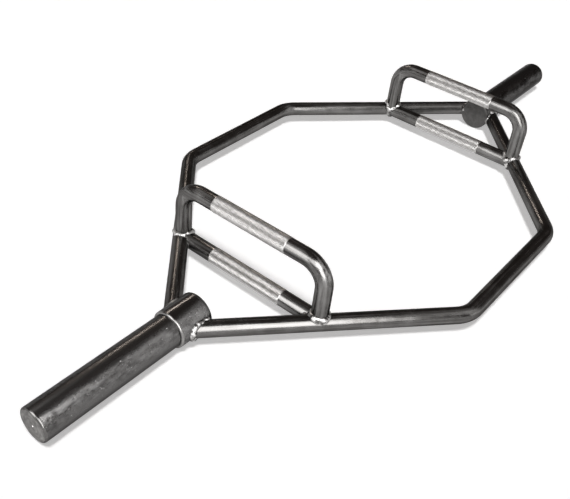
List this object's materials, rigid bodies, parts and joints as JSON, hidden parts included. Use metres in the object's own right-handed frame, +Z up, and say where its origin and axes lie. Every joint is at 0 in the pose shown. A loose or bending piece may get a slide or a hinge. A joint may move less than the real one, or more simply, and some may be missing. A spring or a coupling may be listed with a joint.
{
  "type": "hex trap bar",
  "caption": "Welded hexagonal trap bar of round chromed bar, with low and raised knurled grips and a fixed loading sleeve with stop collar at each end.",
  "frame": {"origin": "on the floor, under the middle of the hexagon", "axes": "+X along the sleeves to the right end, +Y across the frame to the rear rail, +Z up towards the raised grips"},
  "size_m": [1.3552, 0.5854, 0.1343],
  "materials": {
    "bar": "chrome plate on drawn round bar, knurled on the grips",
    "sleeve": "chrome plate, scuffed by plates along the top",
    "collar": "chrome plate with small pits near the welds",
    "cap": "chrome plate over a turned face",
    "weld": "chrome plate over a weld bead"
  },
  "bodies": {
    "root": {"front_rail": "bar", "rear_rail": "bar", "left_sleeve_tube": "sleeve", "left_stop_collar": "collar", "left_inner_cap": "cap", "left_end_plug": "cap", "left_low_grip": "bar", "left_raised_grip": "bar", "left_front_rail_weld": "weld", "left_front_raised_weld": "weld", "left_front_low_weld": "weld", "left_rear_rail_weld": "weld", "left_rear_raised_weld": "weld", "left_rear_low_weld": "weld", "right_sleeve_tube": "sleeve", "right_stop_collar": "collar", "right_inner_cap": "cap", "right_end_plug": "cap", "right_low_grip": "bar", "right_raised_grip": "bar", "right_front_rail_weld": "weld", "right_front_raised_weld": "weld", "right_front_low_weld": "weld", "right_rear_rail_weld": "weld", "right_rear_raised_weld": "weld", "right_rear_low_weld": "weld"}
  },
  "joints": []
}
